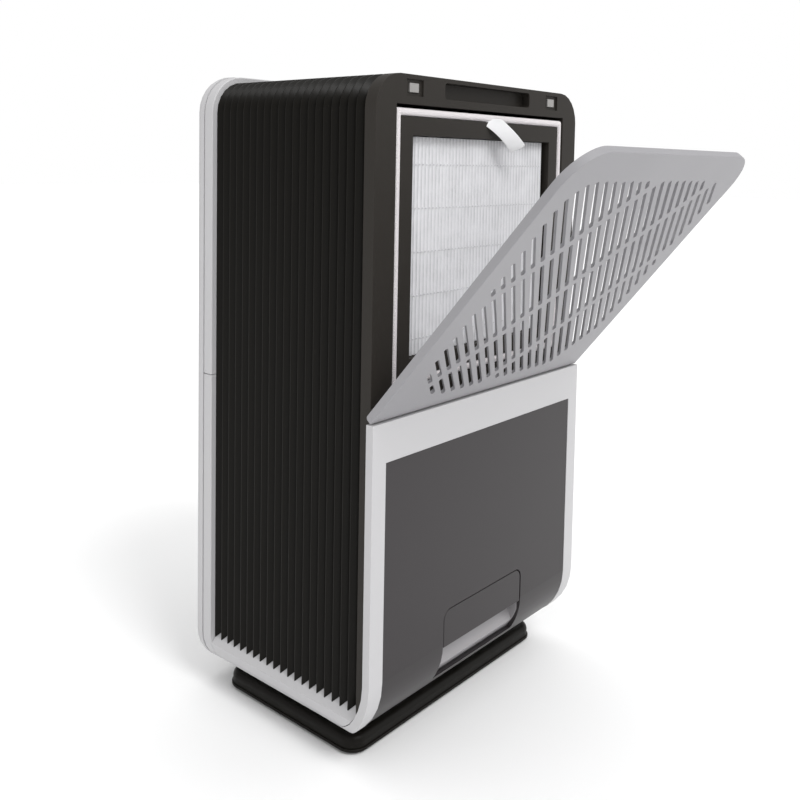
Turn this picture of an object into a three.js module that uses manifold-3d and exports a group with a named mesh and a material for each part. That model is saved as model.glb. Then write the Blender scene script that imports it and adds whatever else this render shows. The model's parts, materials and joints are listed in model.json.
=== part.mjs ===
// Tower air purifier with a pull-out water tank, a hinged rear grille over a tip-out filter,
// ribbed side walls and a flat base. Millimetres, +Z up, front faces -Y, rear faces +Y.
// The origin is on the floor under the middle of the base.
import * as THREE from 'three';
import { mergeVertices } from 'three/addons/utils/BufferGeometryUtils.js';
import Module from 'manifold-3d';

const wasm = await Module();
wasm.setup();

// ---------------------------------------------------------------- driving dimensions
const GAP = 0.3; // clearance left where two pieces touch
const BODY_W = 326; // over the white frames
const BODY_H = 600; // floor to the top of the white front
const FRONT_Y = -117;
const REAR_Y = 117;
const BODY_Z = 20; // underside of the body
const TOP_R = 36; // corner radius at the top of the front panel
const LOW_R = 38; // corner radius along the lower side edges
const WALL = 3;

const FRONT_PANEL_T = 11.7;
const FRONT_FRAME_T = 12;
const FRAME_SPLIT = 7; // parting line of the front frame above the cross bar
const REAR_FRAME_T = 7.7;
const BEZEL_T = 12;

const RIB_COUNT = 20;
const RIB_INSET = 6; // crest of the ribs inside the white outline
const RIB_DEPTH = 6;
const RIB_FLAT = 0.9;
const RIB_STEEP = 3; // run of the steep flank of each rib
const SHELL_R = 30;
const GLAND_Y = 78; // cord gland in the side wall
const GLAND_RISE = 72;

const REAR_LOW_R = 65; // rear lower edge, seen from the side
const LEG_W = 17;
const TANK_TOP = 272.5;
const BAR_TOP = 307;

const HINGE_Y = 113;
const COVER_GAP = 2.5; // cover edge above the cross bar
const HINGE_RISE = 6; // hinge above the cross bar
const COVER_T = 3;
const COVER_DEPTH = 7.4; // over the side flanges
const PIN_R = 1.8;
const PIN_L = 10;
const COVER_TAPER = 8; // each side, hinge to top
const COVER_OPEN = 40; // degrees
const SLOT_PITCH = 9.6;
const SLOT_W = 4.8;
const SLOT_ROW = 82; // web to web along a slot
const SLOT_WEB = 6;
const SLOT_SHIFT = 10;
const SLOT_CORNER = 45; // corner radius of the slotted field
const SLOT_SIDE = 22; // blank margin beside the slots
const SLOT_LOW = 17;
const SLOT_TOP = 38;

const BAY_SIDE = 32; // filter bay opening, in from each side
const BAY_LOW = 16; // above the hinge
const BAY_TOP = 31; // below the top
const GASKET_W = 6.5;
const FILTER_T = 36;
const FILTER_BORDER = 16;
const FILTER_RECESS = 1.5;
const FILTER_TOP_GAP = 3;
const PLEATS = 18;
const PLEAT_T = 1.2;

const GRIP_W = 134; // finger recess above the filter
const GRIP_DROP = 24; // below the top
const GRIP_H = 14;
const MAGNET = 12;
const MAGNET_TALL = 8;
const MAGNET_SIDE = 55;

const BASE_SIDE = 20; // base edge in from the body, at the sides
const BASE_Y0 = -92;
const BASE_Y1 = 82;
const BASE_R = 16;
const BASE_Z0 = 2.5;
const BASE_T = 14.5;
const BASE_RIM = 1.2;
const FOOT_R = 10;
const SCREW_R = 1.9;

const TANK_Y0 = 15;
const TANK_Y1 = 90;
const TANK_SIDE = 23; // tank wall in from the body side
const TANK_DROP = 22.5; // rim of the tank below the top of its front
const PULL_W = 124;
const PULL_RISE = 42; // from the underside of the body to the pull opening
const PULL_H = 22;
const PULL_DEPTH = 18;
const DRAIN_Y = 42;
const DRAIN_R = 8;
const COMP_X = -30;
const COMP_Y = -42;

const FAN_Y0 = -66;
const FAN_Y1 = 4;
const BLADES = 18;

const OUTLET_SIDE = 57;
const OUTLET_Y0 = -60;
const OUTLET_Y1 = 4;
const PANEL_SIDE = 68;
const PANEL_Y0 = -90;
const PANEL_Y1 = -66;
const BUTTON_R = 8;
const BUTTON_STEP = 40;
const BUTTON_TRAVEL = 1.2;

// ---------------------------------------------------------------- sizes that follow
const HALF = BODY_W / 2;
const TUB_Z = BODY_Z + LOW_R - 4.5; // where a rib crest meets the tub
const HINGE_Z = BAR_TOP + HINGE_RISE;
const COVER_LOW = BAR_TOP + COVER_GAP;
const GLAND_Z = BODY_Z + GLAND_RISE;
const BAY_W = BODY_W - BAY_SIDE * 2;
const BAY_Z0 = HINGE_Z + BAY_LOW;
const BAY_Z1 = BODY_H - BAY_TOP;
const GRIP_Z0 = BODY_H - GRIP_DROP;
const GRIP_Z1 = GRIP_Z0 + GRIP_H;
const MAGNET_X = HALF - MAGNET_SIDE;
const MAGNET_Z = GRIP_Z0 + GRIP_H / 2;
const BASE_W = BODY_W - BASE_SIDE * 2;
const TANK_W = BODY_W - TANK_SIDE * 2;
const TANK_Z1 = TANK_TOP - TANK_DROP;
const PULL_Z0 = BODY_Z + PULL_RISE;
const PULL_Z1 = PULL_Z0 + PULL_H;
const UPPER = BODY_H - TANK_TOP; // height left for the coils and the fan
const FAN_Z = TANK_TOP + UPPER * 0.481;
const FAN_R = UPPER * 0.3725;
const IMPELLER_R = FAN_R * 0.754;
const INLET_R = FAN_R * 0.64;
const MOTOR_R = FAN_R * 0.295;
const COIL_H = UPPER * 0.687;
const OUTLET_W = BODY_W - OUTLET_SIDE * 2;
const PANEL_W = BODY_W - PANEL_SIDE * 2;
const BACK_Y = REAR_Y - REAR_FRAME_T - GAP; // black rear face
const PANEL_BACK = FRONT_Y + FRONT_PANEL_T;
const FRAME_BACK = PANEL_BACK + GAP + FRONT_FRAME_T;
const SHELL_Y0 = FRAME_BACK + GAP;
const SHELL_Y1 = BACK_Y - BEZEL_T - GAP;
const CREST = HALF - RIB_INSET;
const CREST_TOP = BODY_H - RIB_INSET;
const SHELL_T = RIB_DEPTH + WALL;
const INNER = CREST - SHELL_T; // inside half width of the shell
const INNER_TOP = CREST_TOP - SHELL_T;
const ARC_Y = REAR_Y - REAR_LOW_R; // centre of the rear lower edge
const ARC_Z = BODY_Z + REAR_LOW_R;
const COVER_L = BODY_H - COVER_LOW;
const FLOOR_Z = BODY_Z + WALL;
const FILTER_HALF = BAY_W / 2 - GAP * 2 - GASKET_W - GAP;
const FILTER_Z0 = BAY_Z0 + GAP * 2 + GASKET_W + GAP;
const FILTER_Z1 = BAY_Z1 - FILTER_TOP_GAP - GASKET_W - GAP;
const FILTER_Y1 = BACK_Y - FILTER_RECESS;
const FILTER_Y0 = FILTER_Y1 - FILTER_T;
const DIVIDER_Z = TANK_TOP + 3;
const SHELF_Z = 56;

const PAINT = {
  white: { color: 0xe6e6e8, roughness: 0.45, metalness: 0 },
  black: { color: 0x1f1c18, roughness: 0.55, metalness: 0 },
  charcoal: { color: 0x3a3632, roughness: 0.6, metalness: 0 },
  grille: { color: 0xb6b6bc, roughness: 0.45, metalness: 0 },
  smoke: { color: 0x555055, roughness: 0.2, metalness: 0 },
  clear: { color: 0x9aa3a8, roughness: 0.15, metalness: 0 },
  gloss: { color: 0x101012, roughness: 0.12, metalness: 0 },
  paper: { color: 0xe9eaee, roughness: 0.9, metalness: 0 },
  foam: { color: 0xc6c0c2, roughness: 0.95, metalness: 0 },
  rubber: { color: 0x151515, roughness: 0.9, metalness: 0 },
  steel: { color: 0xa5a3a0, roughness: 0.35, metalness: 0.9 },
  aluminium: { color: 0xb9bcc0, roughness: 0.4, metalness: 0.9 },
  board: { color: 0x1d5b3a, roughness: 0.6, metalness: 0 },
};

const group = new THREE.Group();

// ---------------------------------------------------------------- shape helpers
function bare(geometry) {
  const g = geometry.index ? geometry.toNonIndexed() : geometry.clone();
  for (const name of Object.keys(g.attributes)) {
    if (name !== 'position') g.deleteAttribute(name);
  }
  return mergeVertices(g, 1e-4);
}

function solid(geometry) {
  const g = bare(geometry);
  return new wasm.Manifold(new wasm.Mesh({
    numProp: 3,
    vertProperties: new Float32Array(g.attributes.position.array),
    triVerts: new Uint32Array(g.index.array),
  }));
}

function surface(manifold) {
  const mesh = manifold.getMesh();
  const g = new THREE.BufferGeometry();
  g.setAttribute('position', new THREE.BufferAttribute(mesh.vertProperties, 3));
  g.setIndex(new THREE.BufferAttribute(mesh.triVerts, 1));
  return g;
}

function add(name, shape, paint, place) {
  const geometry = shape.getMesh ? surface(shape) : shape;
  const mesh = new THREE.Mesh(geometry, new THREE.MeshStandardMaterial(PAINT[paint]));
  mesh.name = name;
  if (place) place(mesh);
  group.add(mesh);
  return mesh;
}

function outline(points) {
  const far = ([a, b], [c, d]) => Math.hypot(a - c, b - d) > 1e-3;
  const kept = points.filter((p, i) => far(p, points[(i + 1) % points.length]));
  return new THREE.Shape(kept.map(([a, b]) => new THREE.Vector2(a, b)));
}

function arc(cx, cy, r, from, to, steps) {
  const points = [];
  for (let i = 0; i <= steps; i += 1) {
    const angle = THREE.MathUtils.degToRad(from + (to - from) * i / steps);
    points.push([cx + r * Math.cos(angle), cy + r * Math.sin(angle)]);
  }
  return points;
}

// A closed outline between two heights whose upper and lower corners have their own radii.
function roundedOutline(half, low, high, lowR, highR, steps = 7, shift = 0, topHalf = half) {
  return outline([
    ...arc(shift + half - lowR, low + lowR, lowR, -90, 0, steps),
    ...arc(shift + topHalf - highR, high - highR, highR, 0, 90, steps),
    ...arc(shift - topHalf + highR, high - highR, highR, 90, 180, steps),
    ...arc(shift - half + lowR, low + lowR, lowR, 180, 270, steps),
  ]);
}

function extrude(shape, depth) {
  return new THREE.ExtrudeGeometry(shape, { depth, bevelEnabled: false, curveSegments: 8 });
}

// An outline drawn in X and Z, pulled along Y.
function alongY(shape, y0, y1) {
  return solid(extrude(shape, y1 - y0).rotateX(Math.PI / 2).translate(0, y1, 0));
}

// An outline drawn in Y and Z, pulled along X.
function alongX(shape, x0, x1) {
  const turn = new THREE.Matrix4().makeBasis(
    new THREE.Vector3(0, 1, 0),
    new THREE.Vector3(0, 0, 1),
    new THREE.Vector3(1, 0, 0),
  );
  return solid(extrude(shape, x1 - x0).applyMatrix4(turn).translate(x0, 0, 0));
}

// An outline drawn in X and Y, pulled up.
function alongZ(shape, z0, z1) {
  return solid(extrude(shape, z1 - z0).translate(0, 0, z0));
}

function block(x0, x1, y0, y1, z0, z1) {
  const g = new THREE.BoxGeometry(x1 - x0, y1 - y0, z1 - z0);
  return solid(g.translate((x0 + x1) / 2, (y0 + y1) / 2, (z0 + z1) / 2));
}

function pillar(x, y, z0, z1, r, sides = 20) {
  const g = new THREE.CylinderGeometry(r, r, z1 - z0, sides).rotateX(Math.PI / 2);
  return solid(g.translate(x, y, (z0 + z1) / 2));
}

function rodX(x0, x1, y, z, r, sides = 16) {
  const g = new THREE.CylinderGeometry(r, r, x1 - x0, sides).rotateZ(Math.PI / 2);
  return solid(g.translate((x0 + x1) / 2, y, z));
}

function rodY(x, z, y0, y1, r, sides = 32) {
  const g = new THREE.CylinderGeometry(r, r, y1 - y0, sides);
  return solid(g.translate(x, (y0 + y1) / 2, z));
}

function turned(profile, sides) {
  const points = profile.map(([r, z]) => new THREE.Vector2(r, z));
  return solid(new THREE.LatheGeometry(points, sides).rotateX(Math.PI / 2));
}

// ---------------------------------------------------------------- base
function buildBase() {
  const plan = (grow) => {
    const half = BASE_W / 2 + grow;
    return roundedOutline(half, BASE_Y0 - grow, BASE_Y1 + grow, BASE_R + grow, BASE_R + grow, 5);
  };
  const top = BASE_Z0 + BASE_T;
  let base = alongZ(plan(0), BASE_Z0, top);
  base = base.add(alongZ(plan(BASE_RIM), BASE_Z0, BASE_Z0 + 3));
  base = base.add(alongZ(roundedOutline(100, -60, 50, 20, 20, 4), top - 1, BODY_Z - GAP));
  const spots = [];
  for (const sx of [-1, 1]) {
    for (const y of [-45, 35]) spots.push([sx * 75, y]);
  }
  for (const [x, y] of spots) {
    base = base.subtract(pillar(x, y, BASE_Z0 - 1, BASE_Z0 + 7, 4.5, 12));
    base = base.subtract(pillar(x, y, BASE_Z0, BODY_Z, SCREW_R + GAP, 12));
  }
  add('base_plate', base, 'black');
  spots.forEach(([x, y], i) => {
    const head = pillar(x, y, BASE_Z0 + 3.5, BASE_Z0 + 7 - GAP, 4, 12);
    add(`base_screw_${i + 1}`, head.add(pillar(x, y, BASE_Z0 + 6, FLOOR_Z + 8, SCREW_R, 12)), 'steel');
  });
  let count = 0;
  for (const sx of [-1, 1]) {
    for (const y of [BASE_Y0 + 22, BASE_Y1 - 22]) {
      count += 1;
      add(`base_foot_${count}`, pillar(sx * (BASE_W / 2 - 22), y, 0, BASE_Z0 - GAP, FOOT_R, 20), 'rubber');
    }
  }
  return spots;
}

// ---------------------------------------------------------------- body shells
// The tub is a trough whose lower edges are round both ways; its sloping top edge meets the ribs.
function buildTub(screws) {
  const out = HALF - 1;
  const r = LOW_R - 1;
  const lipX = INNER;
  const lipZ = TUB_Z + CREST - INNER;
  const corners = (radius, grow) => [
    ...arc(-out + r, BODY_Z + r, radius, 180 + grow, 270, 7),
    ...arc(out - r, BODY_Z + r, radius, 270, 360 - grow, 7),
  ];
  // a 45 degree roof whose ridge lies over the mouth of the tub
  const roof = (top) => outline([[-lipX, top], [-HALF, top + lipX - HALF], [-HALF, BODY_Z - 1],
    [HALF, BODY_Z - 1], [HALF, top + lipX - HALF], [lipX, top]]);
  const full = (radius) => outline([
    [-out + r - radius, lipZ + 1],
    ...corners(radius, 0),
    [out - r + radius, lipZ + 1],
  ]);
  const turn = REAR_LOW_R - REAR_FRAME_T - GAP;
  const end = ARC_Y - GAP;
  const profile = (y0, inset) => outline([
    [y0, BODY_Z + inset],
    [end - inset, BODY_Z + inset],
    ...arc(end, ARC_Z, turn - inset, -90, 0, 8),
    [end + turn - inset, Math.max(lipZ, ARC_Z) + 2],
    [y0, Math.max(lipZ, ARC_Z) + 2],
  ]);
  let tub = alongY(full(r), SHELL_Y0, BACK_Y).intersect(alongY(roof(lipZ), SHELL_Y0, BACK_Y));
  tub = tub.intersect(alongX(profile(SHELL_Y0, 0), -HALF, HALF));
  let room = alongY(full(r - WALL), SHELL_Y0 - 1, BACK_Y);
  room = room.intersect(alongY(roof(lipZ - WALL * 1.4), SHELL_Y0 - 1, BACK_Y));
  room = room.add(block(-lipX + 0.1, lipX - 0.1, SHELL_Y0 - 1, BACK_Y, lipZ - WALL * 2, lipZ + 1));
  tub = tub.subtract(room.intersect(alongX(profile(SHELL_Y0 - 1, WALL), -HALF, HALF)));
  tub = tub.subtract(block(-INNER - 2, INNER + 2, TANK_Y0, BACK_Y + 1, SHELF_Z - 1, lipZ + 3));
  for (const [x, y] of screws) {
    tub = tub.add(pillar(x, y, FLOOR_Z - 1, FLOOR_Z + 6, 5, 12));
    tub = tub.subtract(pillar(x, y, BODY_Z - 1, FLOOR_Z + 7, SCREW_R + GAP, 12));
  }
  add('lower_tub', tub, 'white');
}

// The ribbed shell: one saw-tooth section carried up one side, over the top and down the other.
function ribSection() {
  const pitch = (SHELL_Y1 - SHELL_Y0) / RIB_COUNT;
  const points = [];
  for (let i = 0; i < RIB_COUNT; i += 1) {
    const y = SHELL_Y0 + i * pitch;
    points.push([y, 0], [y + RIB_FLAT, 0], [y + pitch - RIB_STEEP, -RIB_DEPTH]);
  }
  points.push([SHELL_Y1, -RIB_DEPTH / 2]);
  points.push([SHELL_Y1, -SHELL_T], [SHELL_Y0, -SHELL_T]);
  return points;
}

function ribPath(offset) {
  const r = SHELL_R + offset;
  const low = TUB_Z + GAP - offset;
  return [
    [-CREST - offset, low],
    ...arc(-CREST + SHELL_R, CREST_TOP - SHELL_R, r, 180, 90, 6),
    ...arc(CREST - SHELL_R, CREST_TOP - SHELL_R, r, 90, 0, 6),
    [CREST + offset, low],
  ];
}

function buildShell() {
  const section = ribSection();
  const rings = section.map(([, offset]) => ribPath(offset));
  const steps = rings[0].length;
  const position = [];
  section.forEach(([y], k) => rings[k].forEach(([x, z]) => position.push(x, y, z)));
  const index = [];
  const at = (k, i) => (k % section.length) * steps + i;
  for (let k = 0; k < section.length; k += 1) {
    for (let i = 0; i + 1 < steps; i += 1) {
      index.push(at(k, i), at(k, i + 1), at(k + 1, i + 1), at(k, i), at(k + 1, i + 1), at(k + 1, i));
    }
  }
  const flat = section.map(([y, offset]) => new THREE.Vector2(y, offset));
  for (const [a, b, c] of THREE.ShapeUtils.triangulateShape(flat, [])) {
    index.push(at(a, 0), at(c, 0), at(b, 0));
    index.push(at(a, steps - 1), at(b, steps - 1), at(c, steps - 1));
  }
  const g = new THREE.BufferGeometry();
  g.setAttribute('position', new THREE.Float32BufferAttribute(position, 3));
  g.setIndex(index);
  let shell = solid(g);
  const cut = (w, y0, y1, z) => block(-w / 2, w / 2, y0, y1, z, BODY_H);
  shell = shell.subtract(cut(OUTLET_W, OUTLET_Y0, OUTLET_Y1, INNER_TOP - 5));
  shell = shell.subtract(cut(PANEL_W, PANEL_Y0, PANEL_Y1, CREST_TOP - 3 - GAP));
  shell = shell.subtract(cut(PANEL_W - 8, PANEL_Y0 + 2.5, PANEL_Y1 - 2.5, INNER_TOP - 5));
  shell = shell.subtract(rodX(-HALF, -INNER + 5, GLAND_Y, GLAND_Z, 8 + GAP, 16));
  add('ribbed_shell', shell, 'black');
  const gland = rodX(-CREST - 2, -INNER + 2, GLAND_Y, GLAND_Z, 8, 16);
  add('cord_gland', gland.subtract(rodX(-HALF, -INNER + 5, GLAND_Y, GLAND_Z, 4, 12)), 'rubber');
}
function buildFront() {
  const ring = alongY(roundedOutline(HALF - 0.6, BODY_Z, BODY_H - 0.6, LOW_R - 0.6, TOP_R - 0.6),
    PANEL_BACK + GAP, FRAME_BACK);
  const hole = alongY(roundedOutline(HALF - 13, BODY_Z + 12, BODY_H - 13, 26, 24),
    PANEL_BACK - 1, FRAME_BACK + 1);
  const frame = ring.subtract(hole);
  const splitZ = BAR_TOP + FRAME_SPLIT;
  const zone = (z0, z1) => block(-HALF, HALF, FRONT_Y, 0, z0, z1);
  add('front_frame_upper', frame.intersect(zone(splitZ + GAP, BODY_H)), 'white');
  add('front_frame_lower', frame.intersect(zone(BODY_Z - 1, splitZ)), 'white');

  const edge = 7; // width of the rolled front edge
  const steps = 3;
  let panel = null;
  for (let i = 0; i <= steps; i += 1) {
    const angle = (i / steps) * Math.PI / 2;
    const inset = edge * (1 - Math.sin(angle));
    const y = FRONT_Y + edge * (1 - Math.cos(angle));
    const slice = alongY(
      roundedOutline(HALF - inset, BODY_Z + inset, BODY_H - inset, LOW_R - inset, TOP_R - inset),
      y, PANEL_BACK);
    panel = panel ? panel.add(slice) : slice;
  }
  const tray = alongY(roundedOutline(HALF - 10, BODY_Z + 10, BODY_H - 10, LOW_R - 10, TOP_R - 10),
    FRONT_Y + 5, PANEL_BACK + 1);
  const lensZ = BODY_H - 70;
  const pocket = alongY(roundedOutline(46, lensZ, lensZ + 18, 8, 8, 4), FRONT_Y - 1, FRONT_Y + 2);
  add('front_panel', panel.subtract(tray).subtract(pocket), 'white');
  add('display_lens', alongY(roundedOutline(46 - GAP, lensZ + GAP, lensZ + 18 - GAP, 8 - GAP, 8 - GAP, 4),
    FRONT_Y + 0.2, FRONT_Y + 2 - GAP), 'gloss');
}

// Charcoal face round the filter bay, with the finger recess and two magnet pockets above it.
function buildBezel() {
  const y0 = BACK_Y - BEZEL_T;
  const low = TUB_Z + GAP * 1.5;
  let bezel = alongY(outline([
    [CREST, low],
    ...arc(CREST - SHELL_R, CREST_TOP - SHELL_R, SHELL_R, 0, 90, 6),
    ...arc(-CREST + SHELL_R, CREST_TOP - SHELL_R, SHELL_R, 90, 180, 6),
    [-CREST, low],
    [-INNER, low + CREST - INNER],
    [-INNER, DIVIDER_Z + WALL + 2],
    [INNER, DIVIDER_Z + WALL + 2],
    [INNER, low + CREST - INNER],
  ]), y0, BACK_Y);
  // its foot follows the rounding of the rear frame
  const turn = REAR_LOW_R - REAR_FRAME_T - GAP;
  bezel = bezel.intersect(alongX(outline([
    ...arc(ARC_Y - GAP, ARC_Z, turn, -90, 0, 8),
    [BACK_Y, BODY_H],
    [ARC_Y - GAP, BODY_H],
  ]), -HALF, HALF));
  bezel = bezel.subtract(block(-BAY_W / 2, BAY_W / 2, y0 - 1, BACK_Y + 1, BAY_Z0, BAY_Z1));
  bezel = bezel.subtract(alongY(roundedOutline(GRIP_W / 2, GRIP_Z0, GRIP_Z1, 3, 3, 3),
    BACK_Y - 9, BACK_Y + 1));
  for (const sx of [-1, 1]) {
    const x = sx * MAGNET_X;
    const grow = MAGNET / 2 + 5;
    bezel = bezel.subtract(block(x - grow, x + grow, BACK_Y - 2, BACK_Y + 1, GRIP_Z0, GRIP_Z1));
    const m = MAGNET / 2;
    const t = MAGNET_TALL / 2;
    const seat = [x - m - GAP, x + m + GAP, BACK_Y - 6, BACK_Y, MAGNET_Z - t - GAP, MAGNET_Z + t + GAP];
    bezel = bezel.subtract(block(...seat));
    add(sx < 0 ? 'latch_magnet_right' : 'latch_magnet_left',
      block(x - m, x + m, BACK_Y - 6 + GAP, BACK_Y - 0.8, MAGNET_Z - t, MAGNET_Z + t), 'steel');
  }
  add('rear_bezel', bezel, 'charcoal');
}

// The side profile of the rear: straight down, then round under the body.
function rearBand(outside, inside, top, sweep) {
  return outline([
    [ARC_Y + inside, top],
    ...arc(ARC_Y, ARC_Z, inside, 0, -sweep, 8),
    ...arc(ARC_Y, ARC_Z, outside, -sweep, 0, 8),
    [ARC_Y + outside, top],
  ]);
}

function buildRearFrame() {
  const band = rearBand(REAR_LOW_R, REAR_LOW_R - REAR_FRAME_T, BAR_TOP, 90);
  const shape = alongX(band, -HALF, HALF);
  const face = alongY(roundedOutline(HALF, BODY_Z, BODY_H, LOW_R, TOP_R), ARC_Y - 1, REAR_Y + 1);
  const half = HALF - LEG_W;
  const window = block(-half, half, ARC_Y - 1, REAR_Y + 1, BODY_Z - 1, TANK_TOP + GAP);
  add('rear_frame', shape.intersect(face).subtract(window), 'white');
}

// ---------------------------------------------------------------- hinged grille cover
function coverHalf(z) {
  return HALF - COVER_TAPER * (z - COVER_LOW) / COVER_L;
}

// Slots lean at 45 degrees in rows; the webs between the rows lean the other way.
function coverSlots() {
  const cuts = [];
  const z0 = COVER_LOW + SLOT_LOW;
  const z1 = BODY_H - SLOT_TOP;
  const half = HALF - SLOT_SIDE;
  const midZ = (z0 + z1) / 2;
  const reach = half + (z1 - z0) / 2;
  const s = Math.SQRT1_2;
  const columns = Math.floor(reach * s / SLOT_PITCH);
  const rows = Math.floor(reach * s / SLOT_ROW) + 1;
  const outside = (x, z) => {
    const dx = Math.abs(x) - half + SLOT_CORNER;
    const dz = Math.abs(z - midZ) - (z1 - z0) / 2 + SLOT_CORNER;
    return dx > 0 && dz > 0 && Math.hypot(dx, dz) > SLOT_CORNER;
  };
  for (let i = -columns; i <= columns; i += 1) {
    const across = i * SLOT_PITCH;
    // the stretch of this slot line that lies inside the field
    const xAt = (along) => s * (along - across);
    const zAt = (along) => midZ + s * (along + across);
    const lo = Math.max((-half) / s + across, (z0 - midZ) / s - across);
    const hi = Math.min(half / s + across, (z1 - midZ) / s - across);
    for (let row = -rows; row <= rows; row += 1) {
      let from = Math.max(lo, SLOT_SHIFT + row * SLOT_ROW + SLOT_WEB / 2);
      let to = Math.min(hi, SLOT_SHIFT + (row + 1) * SLOT_ROW - SLOT_WEB / 2);
      while (from < to && outside(xAt(from), zAt(from))) from += 1;
      while (from < to && outside(xAt(to), zAt(to))) to -= 1;
      if (to - from < SLOT_W * 1.5) continue;
      const mid = (from + to) / 2;
      const bar = new THREE.BoxGeometry(to - from, 20, SLOT_W).rotateY(-Math.PI / 4);
      cuts.push(solid(bar.translate(xAt(mid), REAR_Y, zAt(mid))));
    }
  }
  return wasm.Manifold.union(cuts);
}

function buildCover() {
  const topHalf = coverHalf(BODY_H);
  const shape = (inset, low) => outline([
    [-HALF + inset, low],
    [HALF - inset, low],
    ...arc(topHalf - TOP_R, BODY_H - TOP_R, TOP_R - inset, 0, 90, 7),
    ...arc(-topHalf + TOP_R, BODY_H - TOP_R, TOP_R - inset, 90, 180, 7),
  ]);
  const y0 = REAR_Y - COVER_DEPTH;
  let cover = alongY(shape(0, COVER_LOW), y0, REAR_Y);
  cover = cover.subtract(alongY(shape(COVER_T, COVER_LOW - 1), y0 - 1, REAR_Y - COVER_T));
  cover = cover.subtract(coverSlots());
  cover = cover.subtract(rodX(-HALF + 1, HALF - 1, HINGE_Y, HINGE_Z, PIN_R + GAP, 12));
  // lower inner corners cut back so that the cover swings clear of the frame
  const relief = outline([[y0 - 1, COVER_LOW - 1], [HINGE_Y, COVER_LOW - 1], [HINGE_Y, COVER_LOW],
    [y0, HINGE_Z], [y0 - 1, HINGE_Z]]);
  cover = cover.subtract(alongX(relief, -HALF - 1, HALF + 1));
  const chamfer = outline([[REAR_Y - COVER_T - 0.5, COVER_LOW - 1], [REAR_Y - 1, COVER_LOW - 1],
    [REAR_Y - 1, COVER_LOW], [REAR_Y - COVER_T, HINGE_Z + 0.5], [REAR_Y - COVER_T - 0.5, HINGE_Z + 0.5]]);
  cover = cover.subtract(alongX(chamfer, -HALF + COVER_T, HALF - COVER_T));

  const swing = new THREE.Group();
  swing.position.set(0, HINGE_Y, HINGE_Z);
  swing.rotation.x = -THREE.MathUtils.degToRad(COVER_OPEN);
  group.add(swing);
  const back = [0, -HINGE_Y, -HINGE_Z];
  const fit = (name, shape3, paint) => {
    const mesh = add(name, shape3.translate(back), paint);
    swing.add(mesh);
  };
  fit('grille_cover', cover, 'grille');
  for (const sx of [-1, 1]) {
    const x = sx * MAGNET_X;
    const m = MAGNET / 2;
    const plate = block(x - m, x + m, REAR_Y - COVER_T - GAP - 1.2, REAR_Y - COVER_T - GAP,
      MAGNET_Z - m, MAGNET_Z + m);
    const side = sx < 0 ? 'right' : 'left';
    fit(`strike_plate_${side}`, plate, 'steel');
    const inner = HALF - 1 - GAP;
    const ends = sx < 0 ? [-inner, -inner + PIN_L] : [inner - PIN_L, inner];
    fit(`hinge_pin_${side}`, rodX(ends[0], ends[1], HINGE_Y, HINGE_Z, PIN_R, 12), 'steel');
  }
}
function buildHingeSockets() {
  for (const sx of [-1, 1]) {
    const x = sx * (HALF - COVER_T - PIN_L / 2);
    let socket = block(x - 2.5, x + 2.5, BACK_Y + GAP, HINGE_Y - 0.4, BAR_TOP + GAP, HINGE_Z + 6);
    socket = socket.subtract(rodX(x - 4, x + 4, HINGE_Y, HINGE_Z, PIN_R + GAP, 16));
    add(sx < 0 ? 'hinge_socket_right' : 'hinge_socket_left', socket, 'charcoal');
  }
}

// ---------------------------------------------------------------- filter
function buildFilter() {
  const z0 = FILTER_Z0;
  const z1 = FILTER_Z1;
  const b = FILTER_BORDER;
  const frame = block(-FILTER_HALF, FILTER_HALF, FILTER_Y0, FILTER_Y1, z0, z1);
  const inside = block(-FILTER_HALF + b, FILTER_HALF - b, FILTER_Y0 - 1, FILTER_Y1 + 1, z0 + b, z1 - b);
  add('filter_frame', frame.subtract(inside), 'charcoal');

  const half = FILTER_HALF - b - GAP;
  const low = FILTER_Y0 + 5;
  const high = FILTER_Y1 - 5;
  const front = [];
  const back = [];
  for (let i = 0; i <= PLEATS * 2; i += 1) {
    const x = -half + i * half / PLEATS;
    const y = i % 2 ? high : low;
    front.push([x, y + PLEAT_T]);
    back.unshift([x, y - PLEAT_T]);
  }
  add('filter_media', alongZ(outline([...back, ...front].reverse()), z0 + b + GAP, z1 - b - GAP), 'paper');

  const g = GASKET_W + GAP;
  const y0 = FILTER_Y1 - 8;
  const ring = block(-FILTER_HALF - g, FILTER_HALF + g, y0, BACK_Y - 0.5, z0 - g, z1 + g);
  add('filter_gasket', ring.subtract(block(-FILTER_HALF - GAP, FILTER_HALF + GAP, y0 - 1, BACK_Y + 1,
    z0 - GAP, z1 + GAP)), 'foam');
  add('filter_tab', block(-7, 7, FILTER_Y1 + GAP, FILTER_Y1 + GAP + 1, z1 - b - 8, z1 - GAP), 'paper');
}

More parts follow.
